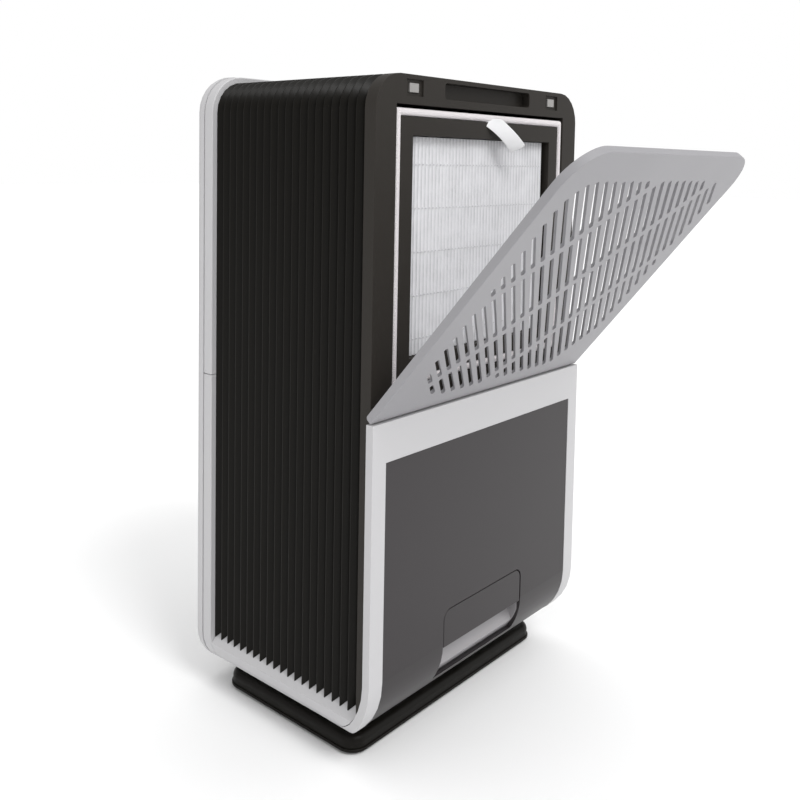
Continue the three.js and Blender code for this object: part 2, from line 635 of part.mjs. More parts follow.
// ---------------------------------------------------------------- water tank
function buildTank() {
  const half = HALF - LEG_W - GAP;
  const outside = REAR_LOW_R - 0.5;
  const band = rearBand(outside, outside - 4, TANK_TOP, 62);
  const face = alongY(roundedOutline(HALF - 1, BODY_Z, BODY_H, LOW_R - 1, TOP_R), ARC_Y - 1, REAR_Y + 1);
  const inY = REAR_Y - 0.5 - 4;
  let front = alongX(band, -half, half).intersect(face);
  front = front.subtract(block(-PULL_W / 2, PULL_W / 2, inY - 12, REAR_Y + 1, PULL_Z0, PULL_Z1));
  const slab = (z0, z1) => block(-HALF, HALF, ARC_Y - 1, REAR_Y + 1, z0, z1);
  add('tank_front', front.intersect(slab(ARC_Z + GAP, BODY_H)), 'smoke');
  add('tank_sill', front.intersect(slab(BODY_Z - 1, ARC_Z)), 'smoke');

  const cupY1 = inY - GAP;
  const w = PULL_W / 2 + 2;
  let cup = block(-w, w, cupY1 - PULL_DEPTH, cupY1, PULL_Z0 + 3, PULL_Z1 + 4);
  cup = cup.subtract(block(-w + 2, w - 2, cupY1 - PULL_DEPTH + 2, cupY1 + 1, PULL_Z0 + 5, PULL_Z1 + 2));
  const clear = outside - 4 - GAP;
  cup = cup.intersect(alongX(outline([
    ...arc(ARC_Y, ARC_Z, clear, -90, 0, 8),
    [ARC_Y + clear, BODY_H],
    [ARC_Y, BODY_H],
  ]), -HALF, HALF));
  add('tank_grip_cup', cup, 'smoke');

  const t = TANK_W / 2;
  const z0 = SHELF_Z + WALL + GAP;
  let bucket = block(-t, t, TANK_Y0, TANK_Y1, z0, TANK_Z1);
  bucket = bucket.subtract(block(-t + WALL, t - WALL, TANK_Y0 + WALL, TANK_Y1 - WALL, z0 + WALL, TANK_Z1 + 1));
  for (const sx of [-1, 1]) {
    const x = sx * (t - 25);
    bucket = bucket.add(block(x - 12, x + 12, TANK_Y1 - 1, inY - GAP, TANK_Z1 - 90, TANK_Z1 - 30));
  }
  add('tank_bucket', bucket, 'clear');

  let lid = block(-t, t, TANK_Y0, TANK_Y1, TANK_Z1 + GAP, TANK_Z1 + GAP + 3);
  lid = lid.subtract(block(-20, 20, DRAIN_Y - 14, DRAIN_Y + 14, TANK_Z1 - 1, TANK_Z1 + 5));
  add('tank_lid', lid, 'clear');

  const floatZ = z0 + WALL + GAP;
  add('tank_float', block(-t + 12, -t + 42, TANK_Y1 - 36, TANK_Y1 - 10, floatZ, floatZ + 16), 'white');

  let shelf = block(-t - 6, t + 6, TANK_Y0 - 4, TANK_Y1 + 12, SHELF_Z, SHELF_Z + WALL);
  for (const x of [-t + 40, t - 40]) {
    shelf = shelf.add(block(x - 2, x + 2, TANK_Y0, ARC_Y - 12, FLOOR_Z + GAP, SHELF_Z + 1));
  }
  add('tank_shelf', shelf, 'black');
  add('tank_switch', block(t - 40, t - 22, 50, 74, DIVIDER_Z - 14, DIVIDER_Z - GAP), 'black');
}
// ---------------------------------------------------------------- inside the body
function buildDivider() {
  let plate = block(-INNER + GAP, INNER - GAP, SHELL_Y0 + 1, BACK_Y - BEZEL_T - 2, DIVIDER_Z, DIVIDER_Z + WALL);
  plate = plate.subtract(pillar(0, DRAIN_Y, DIVIDER_Z - 1, DIVIDER_Z + 5, DRAIN_R + GAP));
  add('divider', plate, 'black');

  const z0 = DIVIDER_Z + WALL + GAP;
  const w = HALF - 28;
  let tray = block(-w, w, 8, 66, z0, z0 + 14);
  tray = tray.subtract(block(-w + WALL, w - WALL, 11, 63, z0 + 2.5, z0 + 15));
  tray = tray.add(pillar(0, DRAIN_Y, TANK_Z1 + 8, z0 + 1, DRAIN_R));
  tray = tray.subtract(pillar(0, DRAIN_Y, TANK_Z1, z0 + 4, DRAIN_R - 2.5));
  add('drip_tray', tray, 'black');
}

// A finned heat exchanger: a block with upright slots cut from one side.
function buildCoil(name, y0, y1) {
  const z0 = DIVIDER_Z + WALL + GAP * 2 + 2.5;
  const half = HALF - 41;
  const fins = 20;
  const pitch = half * 2 / fins;
  const comb = [[half, y0], [half, y1]];
  for (let i = 0; i < fins; i += 1) {
    const x = half - i * pitch;
    comb.push([x - pitch * 0.5, y1], [x - pitch * 0.5, y0 + 4], [x - pitch * 0.8, y0 + 4], [x - pitch * 0.8, y1]);
  }
  comb.push([-half, y1], [-half, y0]);
  add(name, alongZ(outline(comb), z0, z0 + COIL_H), 'aluminium');
}

function buildCompressor() {
  const r = 46;
  const z0 = 36;
  const body = turned([[0, z0], [r - 8, z0], [r, z0 + 8], [r, z0 + 130], [r - 10, z0 + 148],
    [r - 28, z0 + 158], [0, z0 + 160]], 28);
  add('compressor', body.translate([COMP_X, COMP_Y, 0]), 'black');
  for (let i = 0; i < 3; i += 1) {
    const a = i * Math.PI * 2 / 3 + Math.PI / 6;
    const x = COMP_X + 30 * Math.cos(a);
    const y = COMP_Y + 30 * Math.sin(a);
    add(`compressor_mount_${i + 1}`, pillar(x, y, FLOOR_Z + GAP, z0 - GAP, 6, 14), 'rubber');
  }
}
function fanOutline(inset) {
  const half = Math.min(OUTLET_W / 2 - 2, FAN_R * 0.86) - inset;
  const r = FAN_R - inset;
  const start = THREE.MathUtils.radToDeg(Math.acos(half / r));
  return outline([
    [half, INNER_TOP - 3 + (inset ? 1 : 0)],
    [-half, INNER_TOP - 3 + (inset ? 1 : 0)],
    ...arc(0, FAN_Z, r, 180 - start, 360 + start, 30),
  ]);
}

function buildFan() {
  let housing = alongY(fanOutline(0), FAN_Y0, FAN_Y1);
  housing = housing.subtract(alongY(fanOutline(WALL), FAN_Y0 + WALL, FAN_Y1 + 1));
  housing = housing.subtract(rodY(0, FAN_Z, FAN_Y0 - 1, FAN_Y0 + 5, 12));
  add('fan_housing', housing, 'charcoal');

  const plate = alongY(fanOutline(0), FAN_Y1 + GAP, FAN_Y1 + GAP + 2.5);
  const collar = rodY(0, FAN_Z, FAN_Y1 - 8, FAN_Y1 + 1, INLET_R);
  add('fan_inlet_plate', plate.add(collar).subtract(rodY(0, FAN_Z, FAN_Y1 - 20, FAN_Y1 + 10, INLET_R - 2.5)),
    'charcoal');

  const y0 = FAN_Y0 + 8;
  const y1 = FAN_Y1 - 12;
  let wheel = rodY(0, FAN_Z, y0, y0 + 2.5, IMPELLER_R);
  wheel = wheel.add(rodY(0, FAN_Z, y0, y0 + 22, 14, 20));
  const rim = rodY(0, FAN_Z, y1 - 3, y1, IMPELLER_R).subtract(rodY(0, FAN_Z, y1 - 4, y1 + 1, IMPELLER_R - 16));
  wheel = wheel.add(rim);
  for (let i = 0; i < BLADES; i += 1) {
    const blade = new THREE.BoxGeometry(2, y1 - y0 - 1, 20).rotateY(0.6);
    blade.translate(0, (y0 + y1) / 2, IMPELLER_R - 10.5).rotateY(i * 2 * Math.PI / BLADES);
    wheel = wheel.add(solid(blade.translate(0, 0, FAN_Z)));
  }
  wheel = wheel.subtract(rodY(0, FAN_Z, y0 - 1, y0 + 18, 4 + GAP, 16));
  add('impeller', wheel, 'white');

  const motor = rodY(0, FAN_Z, SHELL_Y0 + 3, FAN_Y0 - GAP, MOTOR_R);
  add('fan_motor', motor.add(rodY(0, FAN_Z, FAN_Y0 - 1, y0 + 16, 4, 16)), 'steel');
}

// ---------------------------------------------------------------- outlet and controls
function buildOutlet() {
  const half = OUTLET_W / 2 - GAP;
  const y0 = OUTLET_Y0 + GAP;
  const y1 = OUTLET_Y1 - GAP;
  const rim = 5;
  const top = CREST_TOP + 1;
  const low = INNER_TOP - 3 + GAP;
  let frame = block(-half, half, y0, y1, low, top);
  frame = frame.subtract(block(-half + rim, half - rim, y0 + rim, y1 - rim, low - 1, top + 1));
  for (const x of [-50, 0, 50]) {
    frame = frame.add(block(x - 1, x + 1, y0 + 1, y1 - 1, low, low + 5));
  }
  const pivot = y1 - rim - 2.7;
  const axle = (reach, r) => rodX(-half + reach, half - reach, pivot, top - 1.7, r, 10);
  add('outlet_frame', frame.subtract(axle(2.5, 1.2 + GAP)), 'black');
  const leaf = block(-half + rim + GAP, half - rim - GAP, y0 + rim + GAP, pivot + 1.6, top - 3.2, top - 0.2);
  add('outlet_louvre', leaf.add(axle(2.8, 1.2)), 'black');
}

function buildControls() {
  const half = PANEL_W / 2 - GAP;
  const y0 = PANEL_Y0 + GAP;
  const y1 = PANEL_Y1 - GAP;
  const top = CREST_TOP + 1;
  const midY = (y0 + y1) / 2;
  let panel = block(-half, half, y0, y1, top - 4, top);
  const names = ['power', 'mode', 'speed', 'timer'];
  names.forEach((name, i) => {
    const x = (i - 1.5) * BUTTON_STEP;
    panel = panel.subtract(pillar(x, midY, top - 5, top + 1, BUTTON_R + GAP));
    add(`button_${name}`, pillar(x, midY, top - 6, top + BUTTON_TRAVEL + 0.2, BUTTON_R), 'charcoal');
  });
  add('control_panel', panel, 'gloss');
  add('control_board', block(-half + 8, half - 8, y0 + 3, y1 - 3, top - 9.5, top - 8), 'board');
  add('power_board', block(INNER - GAP - 2, INNER - GAP, -80, 0, 110, 220), 'board');
}

const screws = buildBase();
buildTub(screws);
buildShell();
buildFront();
buildBezel();
buildRearFrame();
buildCover();
buildHingeSockets();
buildFilter();
buildTank();
buildDivider();
buildCoil('evaporator', 40, 62);
buildCoil('condenser', 12, 34);
buildCompressor();
buildFan();
buildOutlet();
buildControls();

export default group;
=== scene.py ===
"""Tower air purifier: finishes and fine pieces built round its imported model."""
import json
import math

import bmesh
import bpy
from bpy.props import FloatProperty, FloatVectorProperty, IntProperty, PointerProperty
from mathutils import Matrix, Vector

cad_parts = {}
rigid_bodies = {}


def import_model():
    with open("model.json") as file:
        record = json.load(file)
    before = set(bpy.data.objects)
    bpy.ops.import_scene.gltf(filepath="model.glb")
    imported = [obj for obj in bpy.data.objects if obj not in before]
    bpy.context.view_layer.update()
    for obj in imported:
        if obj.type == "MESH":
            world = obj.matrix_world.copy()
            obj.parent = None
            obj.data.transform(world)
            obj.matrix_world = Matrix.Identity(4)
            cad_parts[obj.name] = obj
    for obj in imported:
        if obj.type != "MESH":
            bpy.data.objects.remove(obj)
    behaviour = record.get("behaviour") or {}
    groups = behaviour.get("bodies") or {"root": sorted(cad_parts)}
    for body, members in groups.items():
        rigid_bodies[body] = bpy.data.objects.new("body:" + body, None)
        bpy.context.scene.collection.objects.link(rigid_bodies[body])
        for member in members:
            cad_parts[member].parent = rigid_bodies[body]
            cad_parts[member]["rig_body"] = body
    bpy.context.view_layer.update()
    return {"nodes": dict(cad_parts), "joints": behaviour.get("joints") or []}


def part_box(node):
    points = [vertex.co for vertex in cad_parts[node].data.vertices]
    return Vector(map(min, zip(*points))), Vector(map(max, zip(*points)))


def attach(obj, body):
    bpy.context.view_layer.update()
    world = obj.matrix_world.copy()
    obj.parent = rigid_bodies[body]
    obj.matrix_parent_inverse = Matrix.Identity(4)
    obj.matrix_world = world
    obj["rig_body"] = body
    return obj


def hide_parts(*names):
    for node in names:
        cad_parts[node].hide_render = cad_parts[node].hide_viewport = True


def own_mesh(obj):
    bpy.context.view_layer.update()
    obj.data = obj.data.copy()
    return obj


bl_info = {
    "name": "Tower air purifier",
    "version": (1, 0, 0),
    "blender": (4, 5, 0),
    "location": "3D View > Sidebar > Purifier",
    "description": "Builds the visible pieces and finishes of a tower air purifier",
    "category": "Object",
}

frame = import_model()
JOINTS = {joint["name"]: joint for joint in frame["joints"]}

# fixed values: lengths in metres, angles in degrees where the name ends in DEG, and counts and
# shares where the note says so
NEAR = 1e-5              # tolerance when corners and edges are picked by their place
WELD = 2e-6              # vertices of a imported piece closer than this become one
LEVEL_DEG = 0.6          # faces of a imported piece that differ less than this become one
COVER_GAP = 0.0025       # between the rear frame and the cover
COVER_RELIEF = 0.0028    # cut back along the inner edge of the cover at the hinge
FIELD_SIDE = 0.026       # from each side of the cover to the slotted field
FIELD_LOW = 0.017        # from the lower edge of the cover to the field
FIELD_HIGH = 0.028       # from the upper edge of the cover to the field
ROW_SHIFT = 0.010        # of the rows of slots, along the slots
ROWS = 4                 # count of rows of slots tried on each side of the middle one
SKIN_DEPTH = 0.004       # of the smoked skin behind its outer face
SKIN_LAP = 0.0004        # overlap of the block that fills the seam of the skin
PATCH_RISE = 0.012       # of the block behind the handle above the handle's lower edge
HANDLE_GAP = 0.0011      # between the handle and the skin round it
HANDLE_SET = 0.0002      # of the handle's face behind the skin's
RECESS_RISE = 0.022      # of the finger recess above the underside of the body
RECESS_SLOPE = 0.022     # rise of the recess floor towards its back
RECESS_DEPTH = 0.014     # of the recess behind its rim
RECESS_WALL = 0.002      # width of the rim round the recess
PLEAT_SET = 0.006        # of the folds behind the face of the filter frame
BEAD_RADIUS = 0.0007
BEAD_TOP = 0.024         # from the top of the media to the first glue bead
TAB_STEPS = 14           # count of rows of faces along the pull tab
TAB_LEAN_DEG = (34, 48)  # below level, at the seal and at the free end
TAB_LIFT_DEG = (30, 4)   # out from the frame, at the seal and at the free end
TAB_TWIST_DEG = 30       # about its own length, at the free end
TAB_SQUARE = 0.75        # share: at 0 the free end is cut level like the upper end, at 1 square
BASE_RIM = 0.0012        # of the skirt beyond the body of the base
BASE_TOP = 0.017         # top of the body of the base
BASE_NECK = ((-0.1, -0.06), (0.1, 0.05))  # two corners of the neck, in plan
SKIRT_TALL = 0.003       # height of the skirt
KEY_RING = 0.0012        # width of each ring on a button
LAMP_AHEAD = 0.0022      # of a lamp's middle past its button
LAMP_Z = 0.5951          # height of a lamp's middle above the floor
GROOVE_HALF = 0.0006     # half the width of a groove in the louvre
GROOVE_DEEP = 0.0008     # depth of a groove
GROOVE_END = 0.008       # from the ends of the louvre to its grooves
SCUFF_PALER = 0.35       # share of the way to white, for scuffs
WORN_PALER = 0.15        # share of the way to white, for rubbed edges
# painted shade: the deep folds of the media are darkened to this share of its colour
PAINTED_VALLEY_SHADE = 0.55      # share of the media's brightness left in the deep folds

# the stage: each sun's name, where it comes from, strength, and spread in degrees
SUNS = (
    ("key", (0.3, 2.2, 2.6), 1.35, 25),
    ("fill", (-1.5, 1.5, 1.2), 0.45, 60),
    ("side", (2.5, 0.3, 0.8), 0.18, 20),
    ("top", (0, 0, 3.0), 0.75, 60),
)
SKY_STRENGTH = 0.62      # of the white world, as light
SHEET_STRENGTH = 1.0     # of the white world, as seen by the camera
FLOOR_WHITE = (0.96, 0.96, 0.96, 1)
CAMERA_LENS = 41.43      # in millimetres, as the sensor
CAMERA_SENSOR = 36
CAMERA_SHIFT = -0.22     # upright shift of the lens, as a share of the sensor
CAMERA_PLACE = (0.705, 0.608, 0.5206)
CAMERA_TURN_DEG = (86.155, -1.018, 130.76)


# ------------------------------------------------------------------ sizes and colours

def length(name, description, default):
    return FloatProperty(name=name, description=description, default=default,
                         unit="LENGTH", precision=4)


def tint(name, description, default):
    return FloatVectorProperty(name=name, description=description, default=default,
                               subtype="COLOR", size=3, min=0, max=1)


class PurifierSizes(bpy.types.PropertyGroup):
    shell_edge: length("Shell edge", "Rounding of the white shell edges", 0.0011)
    fine_edge: length("Fine edge", "Rounding of small moulded edges", 0.0005)
    base_roll: length("Base roll", "Rounding of the upper rim of the base", 0.0062)
    cover_wall: length("Cover wall", "Thickness of the rear grille cover", 0.003)
    cover_lip: length("Cover lip", "Depth of the cover over its folded sides", 0.0074)
    cover_corner: length("Cover corner", "Radius of the two upper corners of the cover", 0.036)
    cover_taper: length("Cover taper", "Narrowing of each side of the cover towards its top", 0.008)
    slot_width: length("Slot width", "Width of a slot in the cover", 0.0046)
    slot_pitch: length("Slot pitch", "Spacing of the slots", 0.0096)
    slot_row: length("Slot row", "Distance between the webs that cross the slots", 0.082)
    slot_web: length("Slot web", "Width of a web between two slots in line", 0.0075)
    field_low: length("Field low corner", "Radius of the lower corners of the slotted field", 0.062)
    field_high: length("Field high corner",
                       "Radius of the upper corners of the slotted field", 0.030)
    pleat_pitch: length("Pleat pitch", "Spacing of the filter pleats", 0.0049)
    pleat_depth: length("Pleat depth", "Depth of a filter pleat", 0.0032)
    bead_gap: length("Bead spacing", "Spacing of the glue beads across the pleats", 0.038)
    tab_width: length("Tab width", "Width of the pull tab", 0.0165)
    tab_length: length("Tab length", "Length of the pull tab", 0.046)
    rear_round: length("Rear rounding", "Radius of the lower rear edge of the body", 0.065)
    handle_width: length("Handle width", "Width of the pull handle in the tank front", 0.126)
    handle_top: length("Handle top", "Height of the top of the pull handle", 0.116)
    handle_low: length("Handle low", "Height of the lower edge of the pull handle", 0.081)
    louvre_slats: IntProperty(name="Louvre slats", default=7,
                              description="Grooves across the outlet louvre")


class PurifierColours(bpy.types.PropertyGroup):
    white: tint("White", "White shell", (0.51, 0.505, 0.515))
    # painted shade: the cover is the white shell's plastic, given a darker colour for the shade it
    # lies in as it leans out
    cover: tint("Cover", "Rear grille cover", (0.29, 0.285, 0.30))
    black: tint("Black", "Ribbed shell and base", (0.0050, 0.0042, 0.0029))
    charcoal: tint("Charcoal", "Filter bay surround", (0.0255, 0.022, 0.0185))
    tank: tint("Tank", "Smoked front of the tank", (0.030, 0.0262, 0.0278))
    media: tint("Media", "Pleated filter media", (0.92, 0.92, 0.94))
    foam: tint("Foam", "Filter seal", (0.80, 0.76, 0.77))
    steel: tint("Steel", "Magnets and pins", (0.52, 0.50, 0.47))


# ------------------------------------------------------------------ working by hand, in code

def look(context):
    return context.scene.purifier_sizes, context.scene.purifier_colours


def leave_all():
    """Object mode, nothing selected."""
    if bpy.context.object and bpy.context.object.mode != "OBJECT":
        bpy.ops.object.mode_set(mode="OBJECT")
    bpy.ops.object.select_all(action="DESELECT")


def take(obj):
    leave_all()
    obj.select_set(True)
    bpy.context.view_layer.objects.active = obj


def edit(obj):
    """Edit mode on one object; gives its mesh."""
    take(obj)
    bpy.ops.object.mode_set(mode="EDIT")
    return bmesh.from_edit_mesh(obj.data)


def pick(obj, kind, test):
    """In edit mode, select only the vertices, edges or faces that pass the test."""
    bpy.ops.mesh.select_mode(type=kind)
    bpy.ops.mesh.select_all(action="DESELECT")
    mesh = bmesh.from_edit_mesh(obj.data)
    for part in {"VERT": mesh.verts, "EDGE": mesh.edges, "FACE": mesh.faces}[kind]:
        if test(part):
            part.select = True
    mesh.select_flush_mode()
    bmesh.update_edit_mesh(obj.data)


def middle(edge):
    return (edge.verts[0].co + edge.verts[1].co) / 2


def along(edge):
    return (edge.verts[1].co - edge.verts[0].co).normalized()


def settle(obj):
    """Place goes into the mesh; the object goes to the origin, unturned and unscaled."""
    take(obj)
    bpy.ops.object.transform_apply(location=True, rotation=True, scale=True)
    return obj


def modify(obj, kind, **settings):
    take(obj)
    bpy.ops.object.modifier_add(type=kind)
    modifier = obj.modifiers[-1]
    for key, value in settings.items():
        setattr(modifier, key, value)
    bpy.ops.object.modifier_apply(modifier=modifier.name)
    return obj


def roll_edges(obj, width, segments=2, angle=40):
    modify(obj, "BEVEL", width=width, segments=segments, limit_method="ANGLE",
           angle_limit=math.radians(angle), use_clamp_overlap=True)
    return smooth(obj)


def smooth(obj, angle=40):
    """Smooth shading that stays flat on the broad faces between rolled edges."""
    take(obj)
    bpy.ops.object.shade_smooth_by_angle(angle=math.radians(angle))
    return modify(obj, "WEIGHTED_NORMAL", keep_sharp=True)


def carve(obj, cutter, operation="DIFFERENCE"):
    modify(obj, "BOOLEAN", operation=operation, object=cutter, solver="EXACT")
    bpy.data.objects.remove(cutter)
    return obj


def join(name, pieces):
    leave_all()
    for piece in pieces:
        piece.select_set(True)
    bpy.context.view_layer.objects.active = pieces[0]
    if len(pieces) > 1:
        bpy.ops.object.join()
    pieces[0].name = name
    return pieces[0]


def copy_of(piece, name):
    twin = bpy.data.objects.new(name, piece.data.copy())
    bpy.context.scene.collection.objects.link(twin)
    return twin


def slab(name, low, high):
    """A box between two corners, named, its place in its mesh."""
    low, high = Vector(low), Vector(high)
    leave_all()
    bpy.ops.mesh.primitive_cube_add(size=1, location=(low + high) / 2)
    obj = bpy.context.object
    obj.name = name
    obj.scale = high - low
    return settle(obj)


def rod(radius, depth, vertices, location=(0, 0, 0), rotation=(0, 0, 0)):
    """A cylinder, its place in its mesh."""
    leave_all()
    bpy.ops.mesh.primitive_cylinder_add(vertices=vertices, radius=radius, depth=depth,
                                        location=location, rotation=rotation)
    return settle(bpy.context.object)


def bevel_edges(obj, test, radius, segments):
    edit(obj)
    pick(obj, "EDGE", test)
    bpy.ops.mesh.bevel(offset=radius, segments=segments, affect="EDGES", clamp_overlap=False)
    leave_all()


def round_corners(obj, axis, radius, segments, test=lambda edge: True):
    """Bevel the edges of a box that run along one axis."""
    bevel_edges(obj, lambda e: abs(along(e)[axis]) > 0.99 and test(e), radius, segments)


def copy_node(node, name):
    """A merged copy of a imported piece, ready to be worked on."""
    source = frame["nodes"][node]
    obj = bpy.data.objects.new(name, source.data.copy())
    bpy.context.scene.collection.objects.link(obj)
    obj.data.materials.clear()
    edit(obj)
    bpy.ops.mesh.select_all(action="SELECT")
    bpy.ops.mesh.remove_doubles(threshold=WELD)
    bpy.ops.mesh.dissolve_limited(angle_limit=math.radians(LEVEL_DEG))
    leave_all()
    return obj


def body_of(node):
    return frame["nodes"][node]["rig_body"]


def place(obj, material, body, nodes=()):
    obj.data.materials.clear()
    obj.data.materials.append(material)
    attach(obj, body)
    if nodes:
        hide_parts(*nodes)
    return obj


def soften(node, material, width, segments=2, angle=40):
    """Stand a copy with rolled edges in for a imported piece."""
    obj = roll_edges(copy_node(node, node + "_skin"), width, segments, angle)
    return place(obj, material, body_of(node), (node,))


# ------------------------------------------------------------------ effects and finishes

class Wiring:
    """Adds nodes to a tree and links them by name."""

    def __init__(self, tree):
        self.tree = tree

    def node(self, kind, settings=None, **inputs):
        node = self.tree.nodes.new(kind)
        for key, value in (settings or {}).items():
            setattr(node, key, value)
        for key, value in inputs.items():
            self.put(node, key.replace("_", " "), value)
        return node

    def put(self, node, key, value):
        socket = node.inputs[int(key)] if key.isdigit() else node.inputs[key]
        if isinstance(value, bpy.types.NodeSocket):
            self.tree.links.new(value, socket)
        else:
            socket.default_value = value

    def math(self, operation, a, b=0.0):
        node = self.tree.nodes.new("ShaderNodeMath")
        node.operation = operation
        self.put(node, "0", a)
        self.put(node, "1", b)
        return node.outputs[0]

    def between(self, value, low, high, to_low=0.0, to_high=1.0):
        node = self.tree.nodes.new("ShaderNodeMapRange")
        for key, item in zip(("Value", "From Min", "From Max", "To Min", "To Max"),
                             (value, low, high, to_low, to_high)):
            self.put(node, key, item)
        return node.outputs[0]

    def blend(self, factor, a, b):
        node = self.tree.nodes.new("ShaderNodeMix")
        node.data_type = "RGBA"
        self.put(node, "0", factor)
        self.put(node, "6", a)
        self.put(node, "7", b)
        return node.outputs[2]


def effect(name, inputs, outputs, build):
    """A shader node group with named inputs and outputs, built once."""
    tree = bpy.data.node_groups.new(name, "ShaderNodeTree")
    for label, kind, default in inputs:
        socket = tree.interface.new_socket(label, in_out="INPUT", socket_type="NodeSocket" + kind)
        socket.default_value = default
    for label, kind in outputs:
        tree.interface.new_socket(label, in_out="OUTPUT", socket_type="NodeSocket" + kind)
    wires = Wiring(tree)
    start = tree.nodes.new("NodeGroupInput")
    end = tree.nodes.new("NodeGroupOutput")
    for label, socket in build(wires, start.outputs).items():
        wires.put(end, label, socket)
    return tree


def moulded_grain(w, given):
    """Fine spark-eroded texture, with slow waviness of the wall beneath it."""
    where = w.node("ShaderNodeTexCoord").outputs["Object"]
    fine = w.node("ShaderNodeTexNoise", Vector=where, Scale=given["Scale"], Detail=3.0,
                  Roughness=0.6)
    slow = w.node("ShaderNodeTexNoise", Vector=where, Scale=9.0, Detail=1.0)
    height = w.math("MULTIPLY", fine.outputs["Fac"], given["Depth"])
    wave = w.math("MULTIPLY", slow.outputs["Fac"], given["Waviness"])
    return {"Height": w.math("ADD", height, wave)}


def handling(w, given):
    """Light scuffs and dull patches left by hands and cloths."""
    where = w.node("ShaderNodeTexCoord").outputs["Object"]
    stretch = w.node("ShaderNodeMapping", Vector=where)
    stretch.inputs["Scale"].default_value = (9, 30, 3)
    stretch.inputs["Rotation"].default_value = (0.5, 0.3, 0.7)
    streaks = w.node("ShaderNodeTexNoise", Vector=stretch.outputs[0], Scale=22.0, Detail=6.0,
                     Roughness=0.65)
    patches = w.node("ShaderNodeTexNoise", Vector=where, Scale=7.0, Detail=3.0)
    thin = w.between(streaks.outputs["Fac"], 0.62, 0.72)
    broad = w.between(patches.outputs["Fac"], 0.42, 0.68)
    scuff = w.math("MULTIPLY", w.math("MULTIPLY", thin, broad), given["Amount"])
    dull = w.math("MULTIPLY", broad, given["Spread"])
    marks = w.math("ADD", dull, w.math("MULTIPLY", scuff, 0.15))
    rough = w.math("ADD", given["Roughness"], marks)
    return {"Color": w.blend(scuff, given["Color"], given["Scuff"]), "Roughness": rough}


def edge_wear(w, given):
    """Paler, rubbed colour where edges stand out, broken up by noise."""
    where = w.node("ShaderNodeTexCoord").outputs["Object"]
    bend = w.node("ShaderNodeNewGeometry").outputs["Pointiness"]
    noise = w.node("ShaderNodeTexNoise", Vector=where, Scale=60.0, Detail=4.0)
    rim = w.between(bend, 0.54, 0.64)
    rubbed = w.math("MULTIPLY", rim, w.between(noise.outputs["Fac"], 0.35, 0.6))
    mask = w.math("MULTIPLY", rubbed, given["Amount"])
    return {"Color": w.blend(mask, given["Color"], given["Worn"])}


def settled_dust(w, given):
    """Thin dust on what faces up."""
    where = w.node("ShaderNodeTexCoord").outputs["Object"]
    normal = w.node("ShaderNodeNewGeometry").outputs["Normal"]
    up = w.node("ShaderNodeSeparateXYZ", Vector=normal).outputs["Z"]
    noise = w.node("ShaderNodeTexNoise", Vector=where, Scale=35.0, Detail=8.0, Roughness=0.7)
    flat = w.between(up, 0.55, 1.0)
    specks = w.math("MULTIPLY", flat, w.between(noise.outputs["Fac"], 0.4, 0.7))
    mask = w.math("MULTIPLY", specks, given["Amount"])
    rough = w.math("ADD", given["Roughness"], w.math("MULTIPLY", mask, 0.3))
    return {"Color": w.blend(mask, given["Color"], given["Dust"]), "Roughness": rough}


def build_effects():
    grey = (0.5, 0.5, 0.5, 1)
    dust = (0.55, 0.53, 0.5, 1)
    painted = [("Color", "Color"), ("Roughness", "Float")]
    return {
        "grain": effect(
            "Moulded grain",
            [("Scale", "Float", 900), ("Depth", "Float", 1), ("Waviness", "Float", 0)],
            [("Height", "Float")], moulded_grain),
        "handling": effect(
            "Handling marks",
            [("Color", "Color", grey), ("Scuff", "Color", grey), ("Amount", "Float", 0.2),
             ("Spread", "Float", 0.08), ("Roughness", "Float", 0.4)],
            painted, handling),
        "edge": effect(
            "Edge wear",
            [("Color", "Color", grey), ("Worn", "Color", grey), ("Amount", "Float", 0.3)],
            [("Color", "Color")], edge_wear),
        "dust": effect(
            "Settled dust",
            [("Color", "Color", grey), ("Dust", "Color", dust), ("Amount", "Float", 0.1),
             ("Roughness", "Float", 0.4)],
            painted, settled_dust),
    }


EFFECTS = {}
FINISHES = {}


def group_node(wires, kind, **inputs):
    if not EFFECTS:
        EFFECTS.update(build_effects())
    return wires.node("ShaderNodeGroup", {"node_tree": EFFECTS[kind]}, **inputs)


def lighter(colour, by):
    return tuple(min(1.0, c + (1 - c) * by) for c in colour) + (1,)


